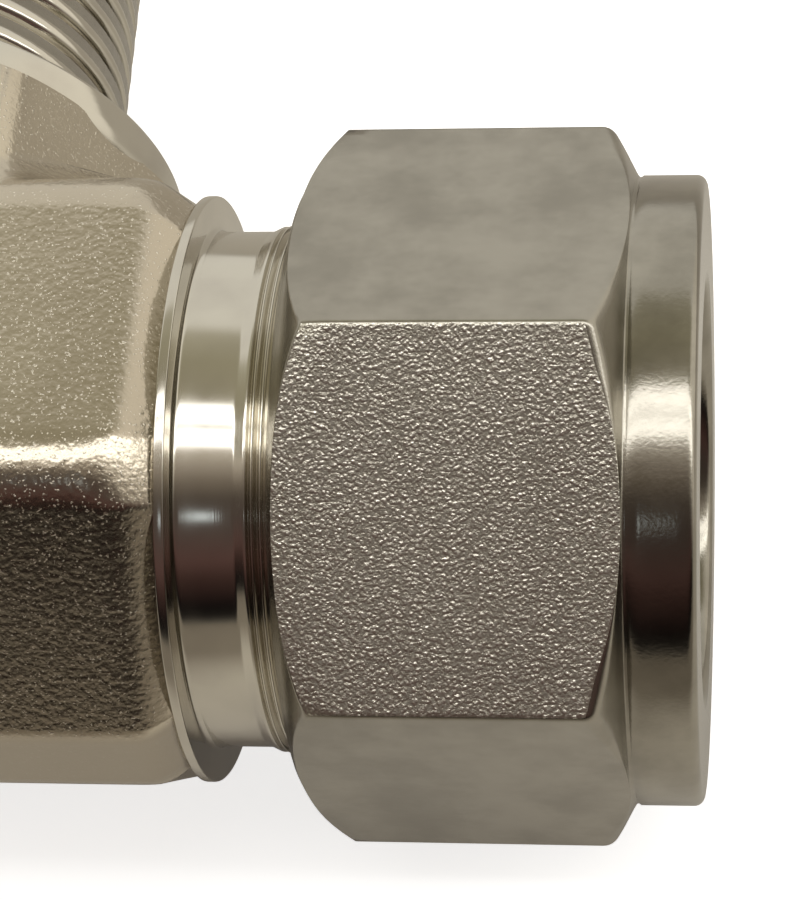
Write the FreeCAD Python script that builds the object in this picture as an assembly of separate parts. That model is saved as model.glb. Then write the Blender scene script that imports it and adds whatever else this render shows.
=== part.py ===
import FreeCAD, Part

import math
import os

# A right-angle tube fitting: a forged elbow body with a tapered male pipe thread on one arm and,
# on the other, a nut that squeezes two ferrules onto a plain tube.
# Millimetres. The origin is the centre of the tube stop, where the tube's end comes to rest.
# +X runs out along the tube, +Y out along the male arm, and +Z up, square to both.

# The tube and where it goes
TUBE_DIAMETER = 19.05
TUBE_CLEARANCE = 0.075
INSERTION_DEPTH = 24.4
CENTRE_TO_STOP = 15.5
TUBE_ARM_FLOW_BORE = 15.7

# Forged elbow
BODY_ACROSS_FLATS = 27.3
BODY_WIDTH = 28.7
FLAT_WIDTH = 15.7
PARTING_LAND = 4.2
CROTCH_RADIUS = 2.9
CROTCH_TOP_RADIUS = 1.5
HEEL_RADIUS = 9.0
FLAT_EDGE_EASE = 0.6
LAND_EDGE_EASE = 0.25

# Turned end of the tube arm
CENTRE_TO_TUBE_SHOULDER = 17.6
SHOULDER_DIAMETER = 27.0
SHOULDER_BAND = 0.45
END_DOME_LENGTH = 3.4
END_DOME_RISE = 2.3
NECK_DIAMETER = 23.72
NECK_LENGTH = 2.65
NECK_ROOT_ROUND = 0.25
RUN_OUT_LENGTH = 1.5
THREAD_PITCH_DIAMETER = 24.58
THREAD_PITCH = 1.27
STOP_TO_NOSE = 16.3
NOSE_CHAMFER = 0.7
NOSE_RIM = 1.29
SEAT_HALF_ANGLE = 20.0

# Turned end of the male arm
CENTRE_TO_MALE_END = 36.6
CENTRE_TO_MALE_COLLAR = 15.7
MALE_COLLAR_DIAMETER = 27.4
MALE_COLLAR_THICKNESS = 1.7
COLLAR_EDGE = 0.3
PIPE_THREAD_PITCH_DIAMETER = 19.5
PIPE_TAPER = 1.0 / 16.0
PIPE_END_CHAMFER = 0.9
MALE_FLOW_BORE = 11.9
BORE_EDGE = 0.4
DRILL_POINT_HALF_ANGLE = 59.0

# Tube nut
NUT_ACROSS_FLATS = 28.575
NUT_LENGTH = 18.75
NUT_FACE_DIAMETER = 25.8
NUT_FACE_ANGLE = 34.0
NUT_BACK_ANGLE = 27.3
NUT_COLLAR_DIAMETER = 28.5
NUT_COLLAR_LENGTH = 3.1
NUT_EDGE_ROUND = 0.35
NUT_COLLAR_ROOT = 0.45
NUT_COLLAR_EDGE = 0.4
NUT_TURN = 38.2
NUT_THREAD_CLEARANCE = 0.05
NUT_ENTRY_CHAMFER = 0.3
NUT_HOLE_EDGE = 0.3
FERRULE_CHAMBER_CLEARANCE = 0.15
PULL_UP_TURNS = 1.25
PULL_UP_MARGIN = 0.4

# Ferrules
FERRULE_GAP = 0.06
FRONT_FERRULE_ROOM = 1.04
FRONT_FERRULE_TIP_WALL = 0.35
FRONT_FERRULE_BAND = 1.5
BACK_FERRULE_NOSE_WALL = 0.35
BACK_FERRULE_FLANGE_STEP = 0.6
BACK_FERRULE_NOSE_REACH = 1.0
BACK_FERRULE_HUB_LENGTH = 0.6
BACK_FERRULE_FLANGE = 1.1
BACK_FERRULE_BACK_CONE = 0.7

# Places along the tube's axis, measured from the tube stop
TUBE_HOLE_R = TUBE_DIAMETER / 2 + TUBE_CLEARANCE
THREAD_R = THREAD_PITCH_DIAMETER / 2
MOUTH_R = THREAD_R - NOSE_RIM
FERRULE_R = THREAD_R + NUT_THREAD_CLEARANCE - FRONT_FERRULE_ROOM
ELBOW_X = -CENTRE_TO_STOP
SHOULDER_X = CENTRE_TO_TUBE_SHOULDER - CENTRE_TO_STOP
FORGING_X = SHOULDER_X - SHOULDER_BAND
NECK_END_X = SHOULDER_X + NECK_LENGTH
THREAD_X = NECK_END_X + RUN_OUT_LENGTH
NUT_END_X = INSERTION_DEPTH
NUT_START_X = NUT_END_X - NUT_LENGTH
MALE_SHOULDER_Y = CENTRE_TO_MALE_COLLAR + MALE_COLLAR_THICKNESS
SEAT_SLOPE = math.tan(math.radians(SEAT_HALF_ANGLE))

X_AXIS = FreeCAD.Vector(1, 0, 0)
Y_AXIS = FreeCAD.Vector(0, 1, 0)
Z_AXIS = FreeCAD.Vector(0, 0, 1)
STOP_CENTRE = FreeCAD.Vector(0, 0, 0)
ELBOW_CENTRE = FreeCAD.Vector(ELBOW_X, 0, 0)


def turned_about_x(profile):
    """A solid of revolution about the tube's axis, from (x, radius) corners in order."""
    corners = [FreeCAD.Vector(x, radius, 0) for x, radius in profile]
    face = Part.Face(Part.makePolygon(corners + corners[:1]))
    return face.revolve(STOP_CENTRE, X_AXIS, 360)


def turned_about_male_axis(profile):
    """A solid of revolution about the male arm's axis, from (y, radius) corners in order."""
    corners = [FreeCAD.Vector(ELBOW_X + radius, y, 0) for y, radius in profile]
    face = Part.Face(Part.makePolygon(corners + corners[:1]))
    return face.revolve(ELBOW_CENTRE, Y_AXIS, 360)


def arc_through(centre_x, centre_y, radius, start_deg, end_deg, z):
    """A quarter arc in the plane of the elbow, seen from above."""
    points = []
    for degrees in (start_deg, (start_deg + end_deg) / 2, end_deg):
        turn = math.radians(degrees)
        x = centre_x + radius * math.cos(turn)
        y = centre_y + radius * math.sin(turn)
        points.append(FreeCAD.Vector(x, y, z))
    return Part.Arc(*points).toShape()


def elbow_outline(half_width, z):
    """The L-shaped outline of the forging at one height. It narrows towards the wrench flats:
    the heel's radius shrinks about a centre that stays, and the crotch's sinks to a small one."""
    shrink = BODY_WIDTH / 2 - half_width
    heel_x = ELBOW_X - BODY_WIDTH / 2 + HEEL_RADIUS
    heel_y = -BODY_WIDTH / 2 + HEEL_RADIUS
    narrowing = shrink / (BODY_WIDTH / 2 - FLAT_WIDTH / 2)
    crotch_radius = CROTCH_RADIUS + narrowing * (CROTCH_TOP_RADIUS - CROTCH_RADIUS)
    crotch_x = ELBOW_X + half_width + crotch_radius
    crotch_y = half_width + crotch_radius
    heel = arc_through(heel_x, heel_y, HEEL_RADIUS - shrink, 270, 180, z)
    crotch = arc_through(crotch_x, crotch_y, crotch_radius, 180, 270, z)
    tube_end_x = max(FORGING_X, crotch_x + SHOULDER_BAND / 4)
    male_end_y = max(MALE_SHOULDER_Y, crotch_y) + MALE_COLLAR_THICKNESS / 4
    corners = [
        FreeCAD.Vector(tube_end_x, half_width, z),
        FreeCAD.Vector(tube_end_x, -half_width, z),
        heel.Vertexes[0].Point,
        heel.Vertexes[-1].Point,
        FreeCAD.Vector(ELBOW_X - half_width, male_end_y, z),
        FreeCAD.Vector(ELBOW_X + half_width, male_end_y, z),
        crotch.Vertexes[0].Point,
        crotch.Vertexes[-1].Point,
    ]
    edges = [
        Part.makeLine(corners[0], corners[1]),
        Part.makeLine(corners[1], corners[2]),
        heel,
        Part.makeLine(corners[3], corners[4]),
        Part.makeLine(corners[4], corners[5]),
        Part.makeLine(corners[5], corners[6]),
        crotch,
        Part.makeLine(corners[7], corners[0]),
    ]
    return Part.Wire(edges)


def forging():
    """The forged elbow: a thick flat-topped L with sloping sides that meet at a narrow land,
    where the trimmed flash was. A narrow sloping strip eases each long edge."""
    top = BODY_ACROSS_FLATS / 2
    land = PARTING_LAND / 2
    slope_run = BODY_WIDTH / 2 - FLAT_WIDTH / 2
    slope_drop = top - land
    slope_length = math.hypot(slope_run, slope_drop)
    flat_ease = FLAT_EDGE_EASE / slope_length
    land_ease = LAND_EDGE_EASE / slope_length
    steps = [
        (BODY_WIDTH / 2, land - LAND_EDGE_EASE),
        (BODY_WIDTH / 2 - land_ease * slope_run, land + land_ease * slope_drop),
        (FLAT_WIDTH / 2 + flat_ease * slope_run, top - flat_ease * slope_drop),
        (FLAT_WIDTH / 2 - FLAT_EDGE_EASE, top),
    ]
    plain_height = land - LAND_EDGE_EASE
    middle = Part.Face(elbow_outline(BODY_WIDTH / 2, -plain_height)).extrude(Z_AXIS * 2 * plain_height)
    upper = Part.makeLoft([elbow_outline(half_width, z) for half_width, z in steps], True, True)
    lower = upper.mirror(STOP_CENTRE, Z_AXIS)
    return middle.multiFuse([upper, lower]).removeSplitter()


def ring_about_x(start_x, end_x, inner_radius, outer_radius):
    """A washer-shaped piece about the tube's axis, used to turn a forging down."""
    return turned_about_x(
        [(start_x, inner_radius), (end_x, inner_radius), (end_x, outer_radius), (start_x, outer_radius)]
    )


def tube_end_rounding():
    """What is off the forging's corners near the tube end, where the flats fade into a round end.
    Three short cones stand for the dome."""
    radius = SHOULDER_DIAMETER / 2
    return turned_about_x(
        [
            (SHOULDER_X + BODY_WIDTH, radius),
            (FORGING_X, radius),
            (FORGING_X - 0.2 * END_DOME_LENGTH, radius + 0.36 * END_DOME_RISE),
            (FORGING_X - 0.5 * END_DOME_LENGTH, radius + 0.75 * END_DOME_RISE),
            (FORGING_X - END_DOME_LENGTH, radius + END_DOME_RISE),
            (FORGING_X - END_DOME_LENGTH, BODY_WIDTH),
            (SHOULDER_X + BODY_WIDTH, BODY_WIDTH),
        ]
    )


def tube_arm_turning():
    """The turned outside of the tube arm: shoulder band, neck, thread run-out, thread and nose.
    The thread is plain at its pitch diameter."""
    shoulder = SHOULDER_DIAMETER / 2
    neck = NECK_DIAMETER / 2
    return turned_about_x(
        [
            (ELBOW_X + TUBE_ARM_FLOW_BORE / 2, 0),
            (ELBOW_X + TUBE_ARM_FLOW_BORE / 2, neck),
            (FORGING_X - SHOULDER_BAND, neck),
            (FORGING_X - SHOULDER_BAND, shoulder),
            (SHOULDER_X, shoulder),
            (SHOULDER_X, neck + NECK_ROOT_ROUND),
            (SHOULDER_X + NECK_ROOT_ROUND, neck),
            (NECK_END_X, neck),
            (THREAD_X, THREAD_R),
            (STOP_TO_NOSE - NOSE_CHAMFER, THREAD_R),
            (STOP_TO_NOSE, THREAD_R - NOSE_CHAMFER),
            (STOP_TO_NOSE, 0),
        ]
    )


def male_arm_turning():
    """The turned outside of the male arm: a collar, then the pipe thread's taper.
    The thread is plain at its pitch diameter, which is named where it is least, at the end."""
    collar = MALE_COLLAR_DIAMETER / 2
    end_radius = PIPE_THREAD_PITCH_DIAMETER / 2
    rise = PIPE_TAPER / 2 * (CENTRE_TO_MALE_END - MALE_SHOULDER_Y)
    chamfer_rise = PIPE_TAPER / 2 * PIPE_END_CHAMFER
    return turned_about_male_axis(
        [
            (MALE_FLOW_BORE / 2, 0),
            (MALE_FLOW_BORE / 2, end_radius),
            (CENTRE_TO_MALE_COLLAR, end_radius),
            (CENTRE_TO_MALE_COLLAR, collar),
            (MALE_SHOULDER_Y - COLLAR_EDGE, collar),
            (MALE_SHOULDER_Y, collar - COLLAR_EDGE),
            (MALE_SHOULDER_Y, end_radius + rise),
            (CENTRE_TO_MALE_END - PIPE_END_CHAMFER, end_radius + chamfer_rise),
            (CENTRE_TO_MALE_END, end_radius - PIPE_END_CHAMFER),
            (CENTRE_TO_MALE_END, 0),
        ]
    )


def tube_arm_bores():
    """What is drilled and bored from the tube end: the ferrule seat, tube socket and flow bore."""
    seat_bottom_x = STOP_TO_NOSE - (MOUTH_R - TUBE_HOLE_R) / SEAT_SLOPE
    flow = TUBE_ARM_FLOW_BORE / 2
    point_length = flow / math.tan(math.radians(DRILL_POINT_HALF_ANGLE))
    return turned_about_x(
        [
            (ELBOW_X - point_length, 0),
            (ELBOW_X, flow),
            (0, flow),
            (0, TUBE_HOLE_R),
            (seat_bottom_x, TUBE_HOLE_R),
            (STOP_TO_NOSE, MOUTH_R),
            (STOP_TO_NOSE + NOSE_CHAMFER, MOUTH_R),
            (STOP_TO_NOSE + NOSE_CHAMFER, 0),
        ]
    )


def male_arm_bore():
    """The flow bore from the male end down into the tube arm's bore."""
    flow = MALE_FLOW_BORE / 2
    point_length = flow / math.tan(math.radians(DRILL_POINT_HALF_ANGLE))
    return turned_about_male_axis(
        [
            (-point_length, 0),
            (0, flow),
            (CENTRE_TO_MALE_END - BORE_EDGE, flow),
            (CENTRE_TO_MALE_END, flow + BORE_EDGE),
            (CENTRE_TO_MALE_END + BORE_EDGE, flow + BORE_EDGE),
            (CENTRE_TO_MALE_END + BORE_EDGE, 0),
        ]
    )


def male_collar_clearing():
    """The stock that the lathe takes off round the male collar, out to beyond the forging's corners."""
    collar = MALE_COLLAR_DIAMETER / 2
    reach = BODY_WIDTH
    return turned_about_male_axis(
        [
            (CENTRE_TO_MALE_COLLAR, collar),
            (CENTRE_TO_MALE_END, collar),
            (CENTRE_TO_MALE_END, reach),
            (CENTRE_TO_MALE_COLLAR, reach),
        ]
    )


def make_elbow_body():
    body = forging()
    body = body.cut(tube_end_rounding())
    body = body.cut(male_collar_clearing())
    body = body.cut(ring_about_x(SHOULDER_X, SHOULDER_X + BODY_WIDTH, 0, BODY_WIDTH))
    body = body.multiFuse([tube_arm_turning(), male_arm_turning()]).removeSplitter()
    return body.cut(tube_arm_bores()).cut(male_arm_bore())


def nut_envelope():
    """The nut's turned outline: a coned face, the hexagon's far chamfer and the round collar.
    A short cone eases the corner where chamfer and collar meet."""
    face = NUT_FACE_DIAMETER / 2
    collar = NUT_COLLAR_DIAMETER / 2
    reach = NUT_ACROSS_FLATS / math.sqrt(3) + NUT_EDGE_ROUND
    face_slope = math.tan(math.radians(NUT_FACE_ANGLE))
    back_slope = math.tan(math.radians(NUT_BACK_ANGLE))
    root_x = NUT_END_X - NUT_COLLAR_LENGTH
    return turned_about_x(
        [
            (NUT_START_X, 0),
            (NUT_START_X, face),
            (NUT_START_X + (reach - face) * face_slope, reach),
            (root_x - (reach - collar) * back_slope, reach),
            (root_x - NUT_COLLAR_ROOT * back_slope, collar + NUT_COLLAR_ROOT),
            (root_x + NUT_COLLAR_ROOT, collar),
            (NUT_END_X - NUT_COLLAR_EDGE, collar),
            (NUT_END_X, collar - NUT_COLLAR_EDGE),
            (NUT_END_X, 0),
        ]
    )


def hexagon_bar(start_x, end_x):
    """A length of hexagon bar with its long edges slightly rounded."""
    corner_radius = NUT_ACROSS_FLATS / math.sqrt(3)
    corners = []
    for index in range(6):
        turn = math.radians(60 * index)
        y = corner_radius * math.cos(turn)
        z = corner_radius * math.sin(turn)
        corners.append(FreeCAD.Vector(start_x, y, z))
    bar = Part.Face(Part.makePolygon(corners + corners[:1])).extrude(X_AXIS * (end_x - start_x))
    long_edges = [edge for edge in bar.Edges if edge.BoundBox.XLength > (end_x - start_x) / 2]
    bar = bar.makeFillet(NUT_EDGE_ROUND, long_edges)
    bar.rotate(STOP_CENTRE, X_AXIS, NUT_TURN)
    return bar


def nut_bore():
    """The nut's inside: threaded bore, ferrule chamber, the cone that pushes, and the tube's hole."""
    thread = THREAD_R + NUT_THREAD_CLEARANCE
    chamber = FERRULE_R + FERRULE_CHAMBER_CLEARANCE
    thread_end_x = STOP_TO_NOSE + PULL_UP_TURNS * THREAD_PITCH + PULL_UP_MARGIN
    cone_x = ferrule_places()["back_cone_x"] + FERRULE_GAP
    return turned_about_x(
        [
            (NUT_START_X, 0),
            (NUT_START_X, thread + NUT_ENTRY_CHAMFER),
            (NUT_START_X + NUT_ENTRY_CHAMFER, thread),
            (thread_end_x, thread),
            (thread_end_x, chamber),
            (cone_x - FERRULE_CHAMBER_CLEARANCE, chamber),
            (cone_x + FERRULE_R - TUBE_HOLE_R, TUBE_HOLE_R),
            (NUT_END_X - NUT_HOLE_EDGE, TUBE_HOLE_R),
            (NUT_END_X, TUBE_HOLE_R + NUT_HOLE_EDGE),
            (NUT_END_X, 0),
        ]
    )


def make_tube_nut():
    root_x = NUT_END_X - NUT_COLLAR_LENGTH
    collar_blank = Part.makeCylinder(NUT_ACROSS_FLATS, NUT_COLLAR_LENGTH, FreeCAD.Vector(root_x, 0, 0), X_AXIS)
    blank = hexagon_bar(NUT_START_X, root_x).fuse(collar_blank)
    return blank.common(nut_envelope()).cut(nut_bore())


def ferrule_places():
    """Where each ferrule's corners lie along the tube, stacked outwards from the seat in the nose."""
    gap_in_radius = FERRULE_GAP / math.cos(math.radians(SEAT_HALF_ANGLE))
    tip_radius = TUBE_HOLE_R + FRONT_FERRULE_TIP_WALL
    tip_x = STOP_TO_NOSE - (MOUTH_R - gap_in_radius - tip_radius) / SEAT_SLOPE
    band_x = STOP_TO_NOSE + (FERRULE_R + gap_in_radius - MOUTH_R) / SEAT_SLOPE
    front_end_x = band_x + FRONT_FERRULE_BAND
    flange_x = front_end_x + FERRULE_GAP + BACK_FERRULE_HUB_LENGTH
    back_cone_x = flange_x + BACK_FERRULE_FLANGE
    return {
        "tip_x": tip_x,
        "band_x": band_x,
        "front_end_x": front_end_x,
        "flange_x": flange_x,
        "back_cone_x": back_cone_x,
    }


def make_front_ferrule():
    """A cone that the nut drives into the nose, with a flared recess behind for the back ferrule."""
    places = ferrule_places()
    nose_radius = TUBE_HOLE_R + BACK_FERRULE_NOSE_WALL + FERRULE_GAP
    hub_radius = FERRULE_R - BACK_FERRULE_FLANGE_STEP + FERRULE_GAP
    recess_x = places["front_end_x"] - BACK_FERRULE_NOSE_REACH
    return turned_about_x(
        [
            (places["tip_x"], TUBE_HOLE_R),
            (places["tip_x"], TUBE_HOLE_R + FRONT_FERRULE_TIP_WALL),
            (places["band_x"], FERRULE_R),
            (places["front_end_x"], FERRULE_R),
            (places["front_end_x"], hub_radius),
            (recess_x, nose_radius),
            (recess_x, TUBE_HOLE_R),
        ]
    )


def make_back_ferrule():
    """A small flanged ring: its nose wedges under the front ferrule, and its back takes the nut's push."""
    places = ferrule_places()
    nose_x = places["front_end_x"] - BACK_FERRULE_NOSE_REACH + FERRULE_GAP
    hub_x = nose_x + BACK_FERRULE_NOSE_REACH
    hub_radius = FERRULE_R - BACK_FERRULE_FLANGE_STEP
    end_x = places["back_cone_x"] + BACK_FERRULE_BACK_CONE
    return turned_about_x(
        [
            (nose_x, TUBE_HOLE_R),
            (nose_x, TUBE_HOLE_R + BACK_FERRULE_NOSE_WALL),
            (hub_x, hub_radius),
            (places["flange_x"], hub_radius),
            (places["flange_x"], FERRULE_R),
            (places["back_cone_x"], FERRULE_R),
            (end_x, FERRULE_R - BACK_FERRULE_BACK_CONE),
            (end_x, TUBE_HOLE_R),
        ]
    )


def main():
    os.makedirs("parts", exist_ok=True)
    pieces = {
        "elbow_body": make_elbow_body(),
        "tube_nut": make_tube_nut(),
        "front_ferrule": make_front_ferrule(),
        "back_ferrule": make_back_ferrule(),
    }
    for name, solid in pieces.items():
        solid.exportStep(f"parts/{name}.step")
        box = solid.BoundBox
        print(
            f"{name}: {len(solid.Solids)} solid, valid {solid.isValid()}, {solid.Volume:.1f} mm3, "
            f"x {box.XMin:.2f} to {box.XMax:.2f}, y {box.YMin:.2f} to {box.YMax:.2f}, "
            f"z {box.ZMin:.2f} to {box.ZMax:.2f}"
        )


main()
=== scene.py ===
import math

import bmesh
import bpy
import numpy as np
from mathutils import Matrix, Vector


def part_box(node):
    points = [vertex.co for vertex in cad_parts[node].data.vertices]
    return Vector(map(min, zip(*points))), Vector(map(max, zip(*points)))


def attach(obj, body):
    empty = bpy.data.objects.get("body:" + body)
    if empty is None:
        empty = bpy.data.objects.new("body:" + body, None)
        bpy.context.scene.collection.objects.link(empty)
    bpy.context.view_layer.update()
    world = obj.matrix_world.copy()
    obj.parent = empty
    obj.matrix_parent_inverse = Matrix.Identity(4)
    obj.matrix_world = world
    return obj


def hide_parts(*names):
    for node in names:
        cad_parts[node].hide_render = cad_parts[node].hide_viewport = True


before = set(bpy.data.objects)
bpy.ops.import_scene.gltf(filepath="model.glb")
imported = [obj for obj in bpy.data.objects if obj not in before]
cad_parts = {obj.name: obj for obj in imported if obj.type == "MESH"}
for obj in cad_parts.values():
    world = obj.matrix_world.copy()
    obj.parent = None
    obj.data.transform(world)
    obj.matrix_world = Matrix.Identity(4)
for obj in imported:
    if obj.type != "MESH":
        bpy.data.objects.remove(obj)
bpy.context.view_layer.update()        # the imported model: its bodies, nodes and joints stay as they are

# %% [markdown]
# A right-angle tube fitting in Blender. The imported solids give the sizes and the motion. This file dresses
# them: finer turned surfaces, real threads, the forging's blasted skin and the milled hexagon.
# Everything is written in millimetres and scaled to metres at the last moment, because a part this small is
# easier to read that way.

MM = 0.001

# %% [markdown]
# These are the sizes that the pieces share. The tube's axis is X and starts at the tube stop, and the male
# arm's axis runs along Y at ELBOW_X. A stock of named sizes at the top keeps the pieces in step: if the neck
# moves, the thread moves with it.

# %% Shared sizes, in millimetres
ELBOW_X = -15.5
FORGING_END_X = 1.65
SHOULDER_X, SHOULDER_R = 2.1, 13.5
NECK_END_X, NECK_R = 4.75, 11.86
FROST_END_X, FROST_END_R = 5.22, 12.08
THREAD_START_X = 6.0
THREAD_CREST_R, THREAD_ROOT_R, THREAD_PITCH = 12.62, 11.95, 1.27
NOSE_X, NOSE_R, SEAT_MOUTH_R = 16.3, 11.55, 11.0
SOCKET_R, TUBE_FLOW_R, MALE_FLOW_R = 9.6, 7.85, 5.95
SEAT_SLOPE = math.tan(math.radians(20))
MALE_COLLAR_Y, MALE_SHOULDER_Y, MALE_COLLAR_R = 15.7, 17.4, 13.7
MALE_END_Y = 36.6
PIPE_END_R, PIPE_PITCH, PIPE_DEPTH = 10.36, 1.814, 1.2
NUT_START_X, NUT_END_X = 6.4, 24.4
NUT_ACROSS_FLATS, NUT_COLLAR_R = 28.575, 14.25
NUT_TURN = math.radians(38.2)

# %% [markdown]
# The camera stands where the photo was taken from: about 140 mm away and 57 degrees above the bench, a little
# beyond the nut. It is turned back towards the elbow, and that turn also tips the picture, which is the roll.
# The frame is 811 by 900 pixels. A pinhole with a focal length of 3054 pixels becomes a lens in millimetres
# on Blender's 36 mm sensor, which covers the longer side.

# %% Camera
FRAME_HEIGHT_PX, FOCAL_PX, CENTRE_Y_PX = 900, 3054.46, 528.3
SENSOR = 36
elevation, yaw, roll = (math.radians(v) for v in (56.965, -13.472, -11.086))
distance, camera_x = 139.181, 28.45
camera_data = bpy.data.cameras.new("camera")
camera_data.sensor_width = SENSOR
camera_data.lens = FOCAL_PX * SENSOR / FRAME_HEIGHT_PX
camera_data.shift_y = (CENTRE_Y_PX - FRAME_HEIGHT_PX / 2) / FRAME_HEIGHT_PX
camera_data.clip_start, camera_data.clip_end = 0.01, 10
camera = bpy.data.objects.new("camera", camera_data)
bpy.context.scene.collection.objects.link(camera)
bpy.context.scene.camera = camera
forward = np.array([
    math.sin(yaw) * math.cos(elevation), math.cos(yaw) * math.cos(elevation), -math.sin(elevation),
])
level = np.array([math.cos(yaw), -math.sin(yaw), 0.0])
above = np.cross(level, forward)
right = level * math.cos(roll) + above * math.sin(roll)
up = above * math.cos(roll) - level * math.sin(roll)
stand = np.array([camera_x, -distance * math.cos(elevation), distance * math.sin(elevation)]) * MM
camera.matrix_world = Matrix([*np.column_stack([right, up, -forward, stand]).tolist(), [0, 0, 0, 1]])
print("camera lens", round(camera_data.lens, 1), "mm, shift", round(camera_data.shift_y, 3))

# %% [markdown]
# Most of a fitting is turned on a lathe, so most of its pieces are one closed line spun about an axis. Blender
# has a Screw modifier and a Spin tool for that. Here the grid of points is worked out directly, because the
# radius can then also change with the angle, which is what a hexagon does. Corners are eased first: real
# machined edges are never perfectly sharp, and the eased strip is what catches the light.

# %% Helpers that turn a line into a mesh
def eased(corners, steps=3):
    """The closed line through (along, radius, ease) corners, each replaced by a small arc of its ease."""
    points = np.array([corner[:2] for corner in corners], float)
    line = []
    for i, corner in enumerate(points):
        before, after = points[i - 1] - corner, points[(i + 1) % len(points)] - corner
        reach = min(corners[i][2], 0.45 * np.linalg.norm(before), 0.45 * np.linalg.norm(after))
        if reach < 1e-4:
            line.append(corner)
            continue
        start = corner + before / np.linalg.norm(before) * reach
        end = corner + after / np.linalg.norm(after) * reach
        for t in np.linspace(0, 1, steps + 1):
            line.append((1 - t) ** 2 * start + 2 * t * (1 - t) * corner + t * t * end)
    return np.array(line)


def outward(mesh):
    """Points every face of a closed mesh away from its inside."""
    work = bmesh.new()
    work.from_mesh(mesh)
    bmesh.ops.recalc_face_normals(work, faces=work.faces)
    if work.calc_volume(signed=True) < 0:
        bmesh.ops.reverse_faces(work, faces=work.faces)
    work.to_mesh(mesh)
    work.free()
    mesh.shade_smooth()
    return mesh


def ring_mesh(name, grid):
    """A closed mesh from a grid of points: columns go round the axis, rows go round the section."""
    columns, rows = grid.shape[:2]
    i, j = np.meshgrid(np.arange(columns), np.arange(rows), indexing="ij")
    next_i, next_j = (i + 1) % columns, (j + 1) % rows
    faces = np.stack([i * rows + j, next_i * rows + j, next_i * rows + next_j, i * rows + next_j], -1)
    mesh = bpy.data.meshes.new(name)
    mesh.from_pydata((grid.reshape(-1, 3) * MM).tolist(), [], faces.reshape(-1, 4).tolist())
    mesh.validate()
    return outward(mesh)


def about_tube_axis(along, radius, angle):
    """Angle 0 points up, and the angle grows towards -Y, which is towards the camera."""
    return np.stack([along, -radius * np.sin(angle), radius * np.cos(angle)], -1)


def about_male_axis(along, radius, angle):
    return np.stack([ELBOW_X + radius * np.sin(angle), along, radius * np.cos(angle)], -1)


def turned(name, line, around, segments=256):
    """A turned piece: the closed line of (along, radius) points carried round an axis."""
    angle = np.linspace(0, 2 * math.pi, segments, endpoint=False)[:, None]
    along, radius = np.array(line, float).T
    along, radius, angle = np.broadcast_arrays(along[None], radius[None], angle)
    return ring_mesh(name, around(along, radius, angle))


# %% Helpers that hand a mesh to the frame
def piece(name, mesh, body, slot, *nodes):
    """Links a finished mesh as an object that rides on a body. The slot argument is not used."""
    item = bpy.data.objects.new(name, mesh)
    bpy.context.scene.collection.objects.link(item)
    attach(item, body)
    for node in nodes:
        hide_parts(node)
    print(name, len(mesh.vertices), "points,", sum(len(p.vertices) - 2 for p in mesh.polygons), "triangles")
    return item


def evened(item):
    """Lets the larger faces set the shading, so that a flat stays flat up to its eased edge."""
    return item.modifiers.new("even", "WEIGHTED_NORMAL")


# %% [markdown]
# Shader maths reads best as plain formulas. A small class wraps a node's output and gives it the usual
# operators, so 1 - mask adds a Subtract node. Every other node comes from one method that sets the node's
# own options first and then its inputs. The same two classes build the materials, the thread's Geometry
# Nodes, the floor and the world.

# %% A small language for node trees
class Value:
    """One output of a node, with operators that add Math nodes."""

    def __init__(self, graph, socket):
        self.graph, self.socket = graph, socket

    def _math(self, operation, *inputs):
        return self.graph.node("ShaderNodeMath", {"operation": operation}, dict(enumerate(inputs)))

    def __add__(self, other): return self._math("ADD", self, other)
    def __radd__(self, other): return self._math("ADD", other, self)
    def __sub__(self, other): return self._math("SUBTRACT", self, other)
    def __rsub__(self, other): return self._math("SUBTRACT", other, self)
    def __mul__(self, other): return self._math("MULTIPLY", self, other)
    def __rmul__(self, other): return self._math("MULTIPLY", other, self)
    def __truediv__(self, other): return self._math("DIVIDE", self, other)
    def __rtruediv__(self, other): return self._math("DIVIDE", other, self)
    def __gt__(self, other): return self._math("GREATER_THAN", self, other)
    def __lt__(self, other): return self._math("LESS_THAN", self, other)
    def absolute(self): return self._math("ABSOLUTE", self)
    def root(self): return self._math("SQRT", self)
    def least(self, other): return self._math("MINIMUM", self, other)
    def most(self, other): return self._math("MAXIMUM", self, other)
    def angle_to(self, other): return self._math("ARCTAN2", self, other)

    def ramped(self, low, high, to_low=0.0, to_high=1.0):
        """A smooth step from to_low to to_high as the value goes from low to high."""
        settings = {"interpolation_type": "SMOOTHSTEP"}
        return self.graph.node("ShaderNodeMapRange", settings, {0: self, 1: low, 2: high, 3: to_low, 4: to_high})


class Graph:
    """A node tree under construction, with one method that makes any node."""

    def __init__(self, tree):
        self.nodes, self.links = tree.nodes, tree.links

    def feed(self, socket, value):
        if isinstance(value, Value):
            self.links.new(value.socket, socket)
        else:
            socket.default_value = value

    def node(self, kind, settings, inputs, output=0):
        """The output asked for, by place or name, or a list of them where a tuple is asked for."""
        made = self.nodes.new(kind)
        for key, value in settings.items():
            if key == "stops":
                ramp = made.color_ramp
                while len(ramp.elements) < len(value):
                    ramp.elements.new(1.0)
                for element, (position, colour) in zip(ramp.elements, value):
                    element.position, element.color = position, (*colour, 1)
            else:
                setattr(made, key, value)
        for key, value in inputs.items():
            self.feed(made.inputs[key], value)
        if isinstance(output, tuple):
            return [Value(self, made.outputs[key]) for key in output]
        return Value(self, made.outputs[output])

    def mixed(self, mask, first, second):
        """first where the mask is 0 and second where it is 1."""
        first, second = ((*c, 1) if isinstance(c, tuple) else c for c in (first, second))
        return self.node("ShaderNodeMix", {"data_type": "RGBA"}, {0: mask, 6: first, 7: second}, 2)


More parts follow.
